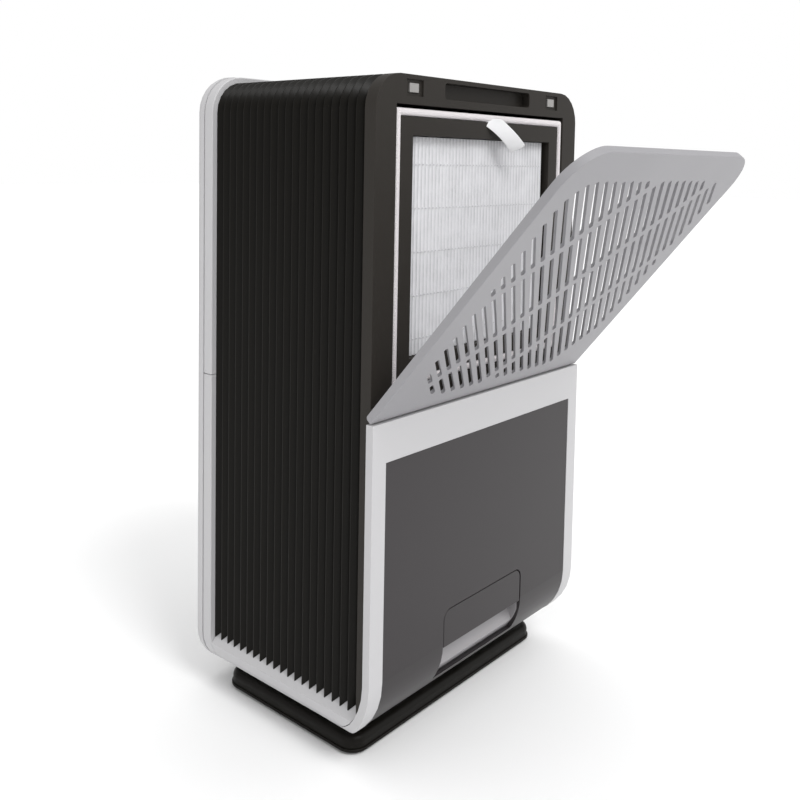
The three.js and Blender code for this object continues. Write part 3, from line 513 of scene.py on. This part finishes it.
def finish(name, colour, rough, metal=0.0, grain=1100, wave=0.0, bump=0.05, scuff=0.15,
           spread=0.03, wear=0.12, dust=0.05, coat=0.0, coat_rough=0.1, pattern=None, gloss=0.5,
           tones=0.0, painted_shade_by=None):
    """One material: colour with painted shade where a mask is given, then handling, edge wear and
    dust; grain drives the bump.
    """
    if name in FINISHES:
        return FINISHES[name]
    material = bpy.data.materials.new(name)
    material.use_nodes = True
    w = Wiring(material.node_tree)
    shader = material.node_tree.nodes["Principled BSDF"]
    shader.inputs["Specular IOR Level"].default_value = gloss
    if metal:
        shader.inputs["Metallic"].default_value = metal
    if coat:
        shader.inputs["Coat Weight"].default_value = coat
        shader.inputs["Coat Roughness"].default_value = coat_rough
    base = tuple(colour) + (1,)
    if tones:
        where = w.node("ShaderNodeTexCoord").outputs["Object"]
        drift = w.node("ShaderNodeTexNoise", Vector=where, Scale=5.0, Detail=2.0)
        base = w.blend(w.between(drift.outputs["Fac"], 0.3, 0.7), base, lighter(colour, tones))
    # painted shade: where a mask is given, the colour darkens by it, as in the valleys of the
    # pleats
    if painted_shade_by:
        base = w.blend(painted_shade_by(w), base, tuple(c * PAINTED_VALLEY_SHADE for c in colour) + (1,))
    hands = group_node(w, "handling", Color=base, Scuff=lighter(colour, SCUFF_PALER),
                       Amount=scuff, Spread=spread, Roughness=rough)
    rubbed = group_node(w, "edge", Color=hands.outputs["Color"],
                        Worn=lighter(colour, WORN_PALER), Amount=wear)
    dusty = group_node(w, "dust", Color=rubbed.outputs["Color"], Amount=dust,
                       Roughness=hands.outputs["Roughness"])
    relief = group_node(w, "grain", Scale=float(grain), Depth=1.0, Waviness=float(wave))
    height = relief.outputs["Height"]
    if pattern:
        height = w.math("ADD", height, pattern(w))
    bumped = w.node("ShaderNodeBump", Height=height, Strength=bump, Distance=0.001)
    w.put(shader, "Base Color", dusty.outputs["Color"])
    w.put(shader, "Roughness", dusty.outputs["Roughness"])
    w.put(shader, "Normal", bumped.outputs["Normal"])
    FINISHES[name] = material
    return material


def lines_across(axis, scale, strength):
    """Straight fine ridges, as on fin stock or brushed plate."""
    def build(w):
        where = w.node("ShaderNodeTexCoord").outputs["Object"]
        wave = w.node("ShaderNodeTexWave", {"bands_direction": axis}, Vector=where,
                      Scale=scale, Distortion=0.6, Detail=2.0)
        return w.math("MULTIPLY", wave.outputs["Fac"], strength)
    return build


def painted_pleat_shade(pitch):
    """Painted shade: darker bands where the folded cloth lies deep, in step with the folds across
    X.
    """
    def build(w):
        where = w.node("ShaderNodeTexCoord").outputs["Object"]
        across = w.node("ShaderNodeSeparateXYZ", Vector=where).outputs["X"]
        fold = w.math("PINGPONG", w.math("ADD", across, pitch * 200.0), pitch / 2)
        depth = w.between(fold, 0.0, pitch / 2, 1.0, 0.0)
        blotch = w.node("ShaderNodeTexNoise", Vector=where, Scale=60.0, Detail=3.0)
        patchy = w.between(blotch.outputs["Fac"], 0.3, 0.7, 0.5, 1.0)
        return w.math("MULTIPLY", w.math("POWER", depth, 2.0), patchy)
    return build


def cells(scale, strength):
    """Open foam cells or rubber pores."""
    def build(w):
        where = w.node("ShaderNodeTexCoord").outputs["Object"]
        pores = w.node("ShaderNodeTexVoronoi", Vector=where, Scale=scale)
        return w.math("MULTIPLY", pores.outputs["Distance"], strength)
    return build


def fibres(scale, strength):
    """Matted fibres of non-woven cloth."""
    def build(w):
        where = w.node("ShaderNodeTexCoord").outputs["Object"]
        turn = w.node("ShaderNodeMapping", Vector=where)
        turn.inputs["Scale"].default_value = (1, 1, 0.25)
        mat = w.node("ShaderNodeTexNoise", Vector=turn.outputs[0], Scale=scale, Detail=8.0,
                     Roughness=0.75, Distortion=1.2)
        return w.math("MULTIPLY", mat.outputs["Fac"], strength)
    return build


def palette(c, pleat):
    """All finishes by key; c holds the colours, pleat is the pitch of the folds."""
    return {
        "white": finish("White shell", c.white, 0.42, grain=1300, bump=0.045, scuff=0.04,
                        wear=0.0, dust=0.03, wave=0.4, tones=0.03),
        # painted shade: the cover's colour is the white plastic darkened for the shade on its outer
        # face
        "cover": finish("Grille shell in painted shade", c.cover, 0.46, grain=1200, bump=0.06, scuff=0.04,
                        wear=0.5, dust=0.0, tones=0.03),
        "black": finish("Black shell", c.black, 0.34, grain=1000, scuff=0.02, spread=0.005,
                        wear=0.05, dust=0.0, gloss=0.14),
        "base": finish("Base moulding", c.black, 0.40, grain=800, bump=0.08, scuff=0.03,
                       spread=0.01, wear=0.05, dust=0.01, gloss=0.14),
        "charcoal": finish("Charcoal moulding", c.charcoal, 0.55, grain=750, bump=0.10,
                           scuff=0.02, spread=0.01, wear=0.05, dust=0.0, gloss=0.2),
        "tank": finish("Smoked tank", c.tank, 0.42, grain=700, bump=0.02, scuff=0.01,
                       spread=0.005, wear=0.0, dust=0.0, wave=0.1, coat=0.08, coat_rough=0.3,
                       gloss=0.3),
        "recess": finish("Recess floor", (0.30, 0.29, 0.30), 0.35, grain=700, bump=0.02,
                         scuff=0.02, dust=0.0),
        "clear": finish("Tank wall", (0.55, 0.57, 0.6), 0.2, grain=500, bump=0.03, wave=1.0,
                        coat=0.4),
        # the media carries painted shade in the valleys of its folds
        "media": finish("Pleated media", c.media, 0.88, grain=500, bump=0.3, scuff=0.0,
                        wear=0.0, dust=0.0, pattern=fibres(420, 1.5), tones=0.15,
                        painted_shade_by=painted_pleat_shade(pleat)),
        "bead": finish("Glue bead", (0.62, 0.62, 0.64), 0.5, grain=300, bump=0.1, wear=0.0),
        "foam": finish("Seal foam", c.foam, 0.95, grain=600, bump=0.5, wear=0.0, scuff=0.0,
                       dust=0.0, pattern=cells(950, 1.5), tones=0.06),
        "tab": finish("Pull tab cloth", (0.86, 0.86, 0.87), 0.8, grain=900, bump=0.3, wear=0.0,
                      scuff=0.0, dust=0.0, pattern=lines_across("X", 700, 0.7)),
        "rubber": finish("Foot rubber", (0.012, 0.012, 0.012), 0.85, grain=500, bump=0.3,
                         pattern=cells(700, 1.0), dust=0.15, gloss=0.2),
        "steel": finish("Plain steel", c.steel, 0.34, metal=1.0, grain=900, bump=0.08,
                        wear=0.2, pattern=lines_across("X", 500, 0.6), spread=0.15),
        "magnet": finish("Plated magnet", (0.34, 0.33, 0.32), 0.5, metal=0.3, grain=900,
                         bump=0.06),
        "fins": finish("Fin stock", (0.58, 0.59, 0.61), 0.38, metal=1.0, grain=400, bump=0.3,
                       pattern=lines_across("Z", 160, 1.6), dust=0.1),
        "board": finish("Circuit board", (0.012, 0.10, 0.045), 0.35, grain=300, bump=0.25,
                        pattern=cells(260, 1.5), coat=0.5),
        "gloss": finish("Gloss black", (0.004, 0.004, 0.005), 0.10, grain=400, bump=0.01,
                        scuff=0.05, coat=1.0, coat_rough=0.04, wear=0.0),
        "lamp": finish("Indicator window", (0.75, 0.86, 0.95), 0.3, bump=0.02, wear=0.0,
                       dust=0.0),
    }


def finishes(context):
    sizes, colours = look(context)
    return palette(colours, sizes.pleat_pitch)


# ------------------------------------------------------------------ operators

class Piece(bpy.types.Operator):
    bl_options = {"REGISTER", "UNDO"}

    def execute(self, context):
        self.build(context, look(context)[0], finishes(context))
        leave_all()
        return {"FINISHED"}


class PURIFIER_OT_shells(Piece):
    """White front, tub and black ribbed shell with rolled edges"""
    bl_idname = "purifier.shells"
    bl_label = "Body shells"

    def build(self, context, size, skin):
        for node in ("front_panel", "front_frame_upper", "front_frame_lower", "lower_tub"):
            soften(node, skin["white"], size.shell_edge, segments=3)
        soften("ribbed_shell", skin["black"], 0.00035, angle=25)
        soften("rear_frame", skin["white"], size.shell_edge, segments=3)
        soften("rear_bezel", skin["charcoal"], size.fine_edge)


class PURIFIER_OT_cover(Piece):
    """Hinged rear grille with rounded slots"""
    bl_idname = "purifier.cover"
    bl_label = "Rear grille cover"

    def build(self, context, size, skin):
        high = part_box("rear_frame")[1]
        hinge = Vector(JOINTS["cover_hinge"]["pos_m"])
        opened = math.radians(-JOINTS["cover_hinge"]["range_deg"][0])
        half = high.x
        rear = high.y
        bottom = high.z + COVER_GAP
        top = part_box("front_panel")[1].z
        cover = slab("cover_plate", (-half, rear - size.cover_lip, bottom), (half, rear, top))
        edit(cover)
        pick(cover, "VERT", lambda v: v.co.z > top - NEAR)
        bpy.ops.transform.resize(value=(1 - size.cover_taper / half, 1, 1),
                                 center_override=(0, rear, top))
        leave_all()
        round_corners(cover, 1, size.cover_corner, 12, lambda e: middle(e).z > top - 0.001)
        edit(cover)
        pick(cover, "FACE", lambda f: f.normal.y < -0.99)
        bpy.ops.mesh.inset(thickness=size.cover_wall, depth=0)
        bpy.ops.transform.translate(value=(0, size.cover_lip - size.cover_wall, 0))
        leave_all()
        # the inner edge at the hinge is cut back so the cover swings clear
        inner = rear - size.cover_lip
        bevel_edges(cover, lambda e: middle(e).y < inner + 1e-4 and middle(e).z < bottom + 1e-4
                    and abs(along(e).x) > 0.99, COVER_RELIEF, 2)
        roll_edges(cover, 0.0007, 3, 50)
        carve(cover, self.slots(size, half, rear, bottom, top))
        smooth(cover, 30)
        cover.matrix_world = (Matrix.Translation(hinge) @ Matrix.Rotation(-opened, 4, "X")
                              @ Matrix.Translation(-hinge))
        settle(cover)
        place(cover, skin["cover"], "cover", ("grille_cover",))

    def slots(self, size, half, rear, bottom, top):
        """Cutters for slots that lean at 45 degrees and fill a field with rounded corners.

        A point of the field is told by its distance along the slots and across them.
        """
        field = half - FIELD_SIDE
        z0 = bottom + FIELD_LOW
        z1 = top - FIELD_HIGH
        tall = (z1 - z0) / 2
        mid = (z0 + z1) / 2
        s = math.sqrt(0.5)
        width = size.slot_width

        def inside(a, across):
            corner = size.field_low if a + across < 0 else size.field_high
            dx = abs(s * (a - across)) - field + corner
            dz = abs(s * (a + across)) - tall + corner
            if dx > corner or dz > corner:
                return False
            return dx <= 0 or dz <= 0 or math.hypot(dx, dz) <= corner

        cutters = []
        reach = int((field + tall) * s / size.slot_pitch)
        for i in range(-reach, reach + 1):
            across = i * size.slot_pitch
            for row in range(-ROWS, ROWS + 1):
                first = ROW_SHIFT + row * size.slot_row + size.slot_web / 2
                last = first + size.slot_row - size.slot_web
                while first < last and not inside(first, across):
                    first += 0.001
                while first < last and not inside(last, across):
                    last -= 0.001
                if last - first < width * 1.5:
                    continue
                cutters.append((first + width / 2, last - width / 2, across))
        pattern = rod(width / 2, 0.02, 12, rotation=(math.pi / 2, 0, 0))
        made = []
        for first, last, across in cutters:
            peg = copy_of(pattern, "slot_cutter")
            edit(peg)
            pick(peg, "VERT", lambda v: v.co.x > NEAR)
            bpy.ops.transform.translate(value=(last - first, 0, 0))
            leave_all()
            start = Vector((s * (first - across), rear, mid + s * (first + across)))
            peg.matrix_world = Matrix.Translation(start) @ Matrix.Rotation(-math.pi / 4, 4, "Y")
            made.append(peg)
        bpy.data.objects.remove(pattern)
        return settle(join("slot_cutters", made))


class PURIFIER_OT_tank(Piece):
    """Smoked tank front with its pull handle and finger recess"""
    bl_idname = "purifier.tank"
    bl_label = "Water tank"

    def build(self, context, size, skin):
        front_low, front_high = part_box("tank_front")
        outer = front_high.y
        half = size.handle_width / 2
        body_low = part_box("rear_frame")[0].z
        back = outer - SKIN_DEPTH
        bottom = body_low + RECESS_RISE
        upper = copy_node("tank_front", "tank_skin")
        lower = copy_node("tank_sill", "tank_sill_skin")
        seam = slab("seam_fill", (front_low.x, back, lower.bound_box[6][2] - SKIN_LAP),
                    (front_high.x, outer, front_low.z + SKIN_LAP))
        skin_piece = carve(carve(upper, seam, "UNION"), lower, "UNION")
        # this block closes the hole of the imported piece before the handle's outline is cut
        patch = slab("patch", (-half, back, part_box("tank_sill")[1].z),
                     (half, outer, size.handle_low + PATCH_RISE))
        carve(skin_piece, patch, "UNION")
        cutter = slab("handle_cut", (-half, outer - 0.03, bottom),
                      (half, outer + 0.01, size.handle_top))
        self.round_top(cutter, size, 0.010)
        carve(skin_piece, cutter)
        roll_edges(skin_piece, 0.0008, 3, 50)
        place(skin_piece, skin["tank"], "tank", ("tank_front", "tank_sill"))

        flap = slab("tank_handle", (-half + HANDLE_GAP, back, size.handle_low),
                    (half - HANDLE_GAP, outer - HANDLE_SET, size.handle_top - HANDLE_GAP))
        self.round_top(flap, size, 0.009)
        roll_edges(flap, 0.0007, 3, 50)
        place(flap, skin["tank"], "tank", ())

        self.recess(size, skin, outer, body_low, bottom)
        for node in ("tank_bucket", "tank_lid"):
            soften(node, skin["clear"], size.fine_edge)
        soften("tank_float", skin["white"], 0.002, segments=3)

    def round_top(self, obj, size, radius):
        round_corners(obj, 1, radius, 6, lambda e: middle(e).z > size.handle_top - 0.01)

    def recess(self, size, skin, outer, body_low, bottom):
        """The finger recess behind the handle, its floor rising towards the back."""
        cup_low, cup_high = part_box("tank_grip_cup")
        cup = slab("tank_recess", (cup_low.x, cup_low.y, bottom),
                   (cup_high.x, outer - 0.0042, size.handle_top))
        edit(cup)
        pick(cup, "FACE", lambda f: f.normal.y > 0.99)
        bpy.ops.mesh.inset(thickness=RECESS_WALL, depth=0)
        bpy.ops.mesh.extrude_region_move(TRANSFORM_OT_translate={"value": (0, -RECESS_DEPTH, 0)})
        floor = bottom + RECESS_WALL
        pick(cup, "VERT", lambda v: v.co.y < outer - 0.017 and abs(v.co.z - floor) < 0.001)
        bpy.ops.transform.translate(value=(0, 0, RECESS_SLOPE))
        leave_all()
        # its face follows the rounding of the rear edge, just inside the tank front
        round_by = size.rear_round
        belly = rod(round_by - 0.0012, 0.4, 96, rotation=(0, math.pi / 2, 0),
                    location=(0, outer + 0.0005 - round_by, body_low + round_by))
        above = slab("belly_top", (-0.2, outer - 0.05, body_low + round_by),
                     (0.2, outer - 0.0043, 0.2))
        carve(belly, above, "UNION")
        carve(cup, belly, "INTERSECT")
        roll_edges(cup, 0.0006)
        place(cup, skin["recess"], "tank", ("tank_grip_cup",))


class PURIFIER_OT_filter(Piece):
    """Pleated filter with its frame, seal and pull tab"""
    bl_idname = "purifier.filter"
    bl_label = "Filter"

    def build(self, context, size, skin):
        soften("filter_frame", skin["charcoal"], size.fine_edge)
        low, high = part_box("filter_media")
        frame_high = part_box("filter_frame")[1]
        count = 2 * int((high.x - low.x) / size.pleat_pitch / 2)
        wide = count * size.pleat_pitch
        y_front = frame_high.y - PLEAT_SET
        leave_all()
        bpy.ops.mesh.primitive_grid_add(x_subdivisions=count * 2, y_subdivisions=9, size=1,
                                        location=(0, y_front, (low.z + high.z) / 2),
                                        rotation=(math.pi / 2, 0, 0))
        pleats = bpy.context.object
        pleats.name = "filter_pleats"
        pleats.scale = (wide, high.z - low.z - 0.0004, 1)
        settle(pleats)
        edit(pleats)
        fold = size.pleat_pitch / 2
        pick(pleats, "VERT", lambda v: round((v.co.x + wide / 2) / fold) % 2 == 1)
        bpy.ops.transform.translate(value=(0, -size.pleat_depth, 0))
        leave_all()
        modify(pleats, "SOLIDIFY", thickness=0.0006, offset=-1)
        roll_edges(pleats, 0.0002, 1, 50)
        place(pleats, skin["media"], "filter", ("filter_media",))

        beads = []
        rows = int((high.z - low.z) / size.bead_gap)
        start = high.z - BEAD_TOP - (rows - 1) * size.bead_gap
        for row in range(rows):
            spot = (0, y_front - 2 * BEAD_RADIUS, start + row * size.bead_gap)
            beads.append(rod(BEAD_RADIUS, wide - 0.001, 8, spot, (0, math.pi / 2, 0)))
        place(smooth(join("filter_beads", beads)), skin["bead"], "filter", ())

        seal = copy_node("filter_gasket", "filter_seal")
        roll_edges(seal, 0.0027, 4, 40)
        place(seal, skin["foam"], "filter", ("filter_gasket",))
        self.tab(size, skin, frame_high)

    def tab(self, size, skin, frame_high):
        """A strap tucked behind the seal that hangs out askew and curls forward."""
        leave_all()
        bpy.ops.mesh.primitive_grid_add(x_subdivisions=4, y_subdivisions=TAB_STEPS, size=1)
        strap = bpy.context.object
        strap.name = "filter_pull_tab"
        strap.scale = (size.tab_width, size.tab_length, 1)
        settle(strap)
        run = size.tab_length / TAB_STEPS
        spot = Vector((-0.0005, frame_high.y - 0.0018, frame_high.z + 0.0034))
        stations = []
        for row in range(TAB_STEPS + 1):
            t = row / TAB_STEPS
            lean, lift = (math.radians(a + (b - a) * t) for a, b in (TAB_LEAN_DEG, TAB_LIFT_DEG))
            ahead = Vector((-math.cos(lean) * math.cos(lift), math.sin(lift),
                            -math.sin(lean) * math.cos(lift)))
            twist = math.radians(TAB_TWIST_DEG * t * t)
            flat_side = Vector((math.sin(lean), 0, -math.cos(lean)))
            side = Matrix.Rotation(twist, 3, ahead) @ flat_side
            side = (side - ahead * side.dot(ahead)).normalized()
            cut = (1 - TAB_SQUARE * t) * side.z / ahead.z
            stations.append((spot.copy(), side - ahead * cut))
            spot = spot + ahead * run
        mesh = edit(strap)
        for vertex in mesh.verts:
            row = round((vertex.co.y + size.tab_length / 2) / run)
            centre, side = stations[row]
            vertex.co = centre + side * vertex.co.x
        bmesh.update_edit_mesh(strap.data)
        leave_all()
        modify(strap, "SOLIDIFY", thickness=0.0007, offset=0)
        modify(strap, "SUBSURF", levels=1, render_levels=1)
        smooth(strap, 60)
        place(strap, skin["tab"], "filter", ("filter_tab",))
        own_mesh(strap)


class PURIFIER_OT_base(Piece):
    """Flat base with a rolled rim, feet and screws"""
    bl_idname = "purifier.base"
    bl_label = "Base"

    def build(self, context, size, skin):
        low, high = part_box("base_plate")
        plate = slab("base_body", (low.x + BASE_RIM, low.y + BASE_RIM, low.z),
                     (high.x - BASE_RIM, high.y - BASE_RIM, BASE_TOP))
        round_corners(plate, 2, 0.016, 8)
        bevel_edges(plate, lambda e: middle(e).z > BASE_TOP - NEAR and abs(along(e).z) < 0.1,
                    size.base_roll, 6)
        skirt = slab("base_skirt", low, (high.x, high.y, low.z + SKIRT_TALL))
        round_corners(skirt, 2, 0.017, 8)
        roll_edges(skirt, 0.0008, 3, 50)
        neck = slab("base_neck", (*BASE_NECK[0], BASE_TOP - 0.002), (*BASE_NECK[1], high.z))
        round_corners(neck, 2, 0.02, 6)
        base = smooth(join("base_moulding", [plate, skirt, neck]), 35)
        place(base, skin["base"], "body", ("base_plate",))
        for count in range(1, 5):
            soften(f"base_foot_{count}", skin["rubber"], 0.0006)
            soften(f"base_screw_{count}", skin["steel"], 0.0003)


class PURIFIER_OT_controls(Piece):
    """Control strip, domed buttons, outlet and display window"""
    bl_idname = "purifier.controls"
    bl_label = "Controls and outlet"

    def build(self, context, size, skin):
        soften("control_panel", skin["gloss"], 0.0005)
        for key in ("power", "mode", "speed", "timer"):
            node = "button_" + key
            low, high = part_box(node)
            cap = copy_node(node, node + "_cap")
            edit(cap)
            pick(cap, "FACE",
                 lambda f: f.normal.z > 0.99 and f.calc_center_median().z > high.z - NEAR)
            for step in (-0.0004, 0.0002):  # a sunken ring, then a low dome inside it
                bpy.ops.mesh.inset(thickness=KEY_RING, depth=0)
                bpy.ops.mesh.extrude_region_move(TRANSFORM_OT_translate={"value": (0, 0, step)})
            leave_all()
            roll_edges(cap, 0.0002)
            place(cap, skin["charcoal"], key + "_key", (node,))
            lamp = rod(0.0011, 0.0004, 16, ((low.x + high.x) / 2, high.y + LAMP_AHEAD, LAMP_Z))
            smooth(modify(lamp, "BEVEL", width=0.0001, segments=2))
            lamp.name = f"{key}_lamp"
            place(lamp, skin["lamp"], "body", ())
        soften("outlet_frame", skin["charcoal"], 0.0006)
        self.louvre(size, skin)
        soften("display_lens", skin["gloss"], 0.0004)

    def louvre(self, size, skin):
        leaf = copy_node("outlet_louvre", "louvre_leaf")
        low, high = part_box("outlet_louvre")
        cuts = []
        gap = (high.y - low.y) / (size.louvre_slats + 1)
        for i in range(size.louvre_slats):
            y = low.y + gap * (i + 1)
            cuts.append(slab("groove", (low.x + GROOVE_END, y - GROOVE_HALF, high.z - GROOVE_DEEP),
                             (high.x - GROOVE_END, y + GROOVE_HALF, high.z + 0.001)))
        carve(leaf, join("grooves", cuts))
        roll_edges(leaf, 0.0004)
        place(leaf, skin["black"], "louvre", ("outlet_louvre",))


class PURIFIER_OT_fittings(Piece):
    """Magnets, strikes, pins, cord gland and everything behind the shells"""
    bl_idname = "purifier.fittings"
    bl_label = "Fittings and inner pieces"

    def build(self, context, size, skin):
        for side in ("left", "right"):
            soften("latch_magnet_" + side, skin["magnet"], 0.0006)
            soften("strike_plate_" + side, skin["steel"], 0.0003)
            soften("hinge_pin_" + side, skin["steel"], 0.0003)
            soften("hinge_socket_" + side, skin["charcoal"], 0.0002, segments=1)
        inner = {
            "rubber": ("cord_gland", "compressor_mount_1", "compressor_mount_2",
                       "compressor_mount_3"),
            "charcoal": ("fan_housing", "fan_inlet_plate", "drip_tray", "divider", "tank_shelf",
                         "tank_switch"),
            "white": ("impeller",),
            "steel": ("fan_motor",),
            "fins": ("evaporator", "condenser"),
            "black": ("compressor",),
            "board": ("control_board", "power_board"),
        }
        for kind, nodes in inner.items():
            for node in nodes:
                part = frame["nodes"][node]
                part.data.materials.clear()
                part.data.materials.append(skin[kind])


class PURIFIER_OT_stage(bpy.types.Operator):
    """Pale floor, soft lights and the camera"""
    bl_idname = "purifier.stage"
    bl_label = "Stage"

    def execute(self, context):
        leave_all()
        bpy.ops.mesh.primitive_plane_add(size=30, location=(0, 0, 0))
        floor = bpy.context.object
        floor.name = "floor"
        paper = bpy.data.materials.new("Paper floor")
        paper.use_nodes = True
        shader = paper.node_tree.nodes["Principled BSDF"]
        shader.inputs["Base Color"].default_value = FLOOR_WHITE
        shader.inputs["Roughness"].default_value = 0.9
        floor.data.materials.append(paper)

        world = bpy.data.worlds.new("Studio")
        bpy.context.scene.world = world
        world.use_nodes = True
        tree = world.node_tree
        soft = tree.nodes["Background"]
        sheet = tree.nodes.new("ShaderNodeBackground")
        for shade, strength in ((soft, SKY_STRENGTH), (sheet, SHEET_STRENGTH)):
            shade.inputs["Color"].default_value = (1, 1, 1, 1)
            shade.inputs["Strength"].default_value = strength
        seen = tree.nodes.new("ShaderNodeLightPath")
        pick_one = tree.nodes.new("ShaderNodeMixShader")
        tree.links.new(seen.outputs["Is Camera Ray"], pick_one.inputs[0])
        tree.links.new(soft.outputs[0], pick_one.inputs[1])
        tree.links.new(sheet.outputs[0], pick_one.inputs[2])
        tree.links.new(pick_one.outputs[0], tree.nodes["World Output"].inputs["Surface"])

        for sun in SUNS:
            self.sun(*sun)

        camera = bpy.data.cameras.new("camera")
        camera.lens = CAMERA_LENS
        camera.sensor_width = CAMERA_SENSOR
        camera.shift_y = CAMERA_SHIFT
        camera.clip_end = 60
        holder = bpy.data.objects.new("camera", camera)
        holder.location = CAMERA_PLACE
        holder.rotation_euler = [math.radians(a) for a in CAMERA_TURN_DEG]
        bpy.context.scene.collection.objects.link(holder)
        bpy.context.scene.camera = holder
        bpy.context.scene.view_settings.view_transform = "Standard"
        return {"FINISHED"}

    def sun(self, name, come_from, strength, spread):
        light = bpy.data.lights.new(name, "SUN")
        light.angle = math.radians(spread)
        light.energy = strength
        holder = bpy.data.objects.new(name, light)
        holder.rotation_euler = (-Vector(come_from)).to_track_quat("-Z", "Y").to_euler()
        bpy.context.scene.collection.objects.link(holder)


OPERATORS = (
    PURIFIER_OT_stage,
    PURIFIER_OT_shells,
    PURIFIER_OT_cover,
    PURIFIER_OT_tank,
    PURIFIER_OT_filter,
    PURIFIER_OT_base,
    PURIFIER_OT_controls,
    PURIFIER_OT_fittings,
)


class PURIFIER_PT_sidebar(bpy.types.Panel):
    """Sizes, colours and one button for each piece"""
    bl_idname = "PURIFIER_PT_sidebar"
    bl_label = "Air purifier"
    bl_space_type = "VIEW_3D"
    bl_region_type = "UI"
    bl_category = "Purifier"

    def draw(self, context):
        for group in look(context):
            box = self.layout.box()
            for key in group.bl_rna.properties.keys():
                if key not in ("rna_type", "name"):
                    box.prop(group, key)
        for operator in OPERATORS:
            self.layout.operator(operator.bl_idname)


CLASSES = (PurifierSizes, PurifierColours) + OPERATORS + (PURIFIER_PT_sidebar,)


def register():
    for cls in CLASSES:
        bpy.utils.register_class(cls)
    bpy.types.Scene.purifier_sizes = PointerProperty(type=PurifierSizes)
    bpy.types.Scene.purifier_colours = PointerProperty(type=PurifierColours)


def unregister():
    del bpy.types.Scene.purifier_sizes
    del bpy.types.Scene.purifier_colours
    for cls in reversed(CLASSES):
        bpy.utils.unregister_class(cls)


def main():
    register()
    for operator in OPERATORS:
        group, name = operator.bl_idname.split(".")
        getattr(getattr(bpy.ops, group), name)()


if __name__ == "__main__":
    main()
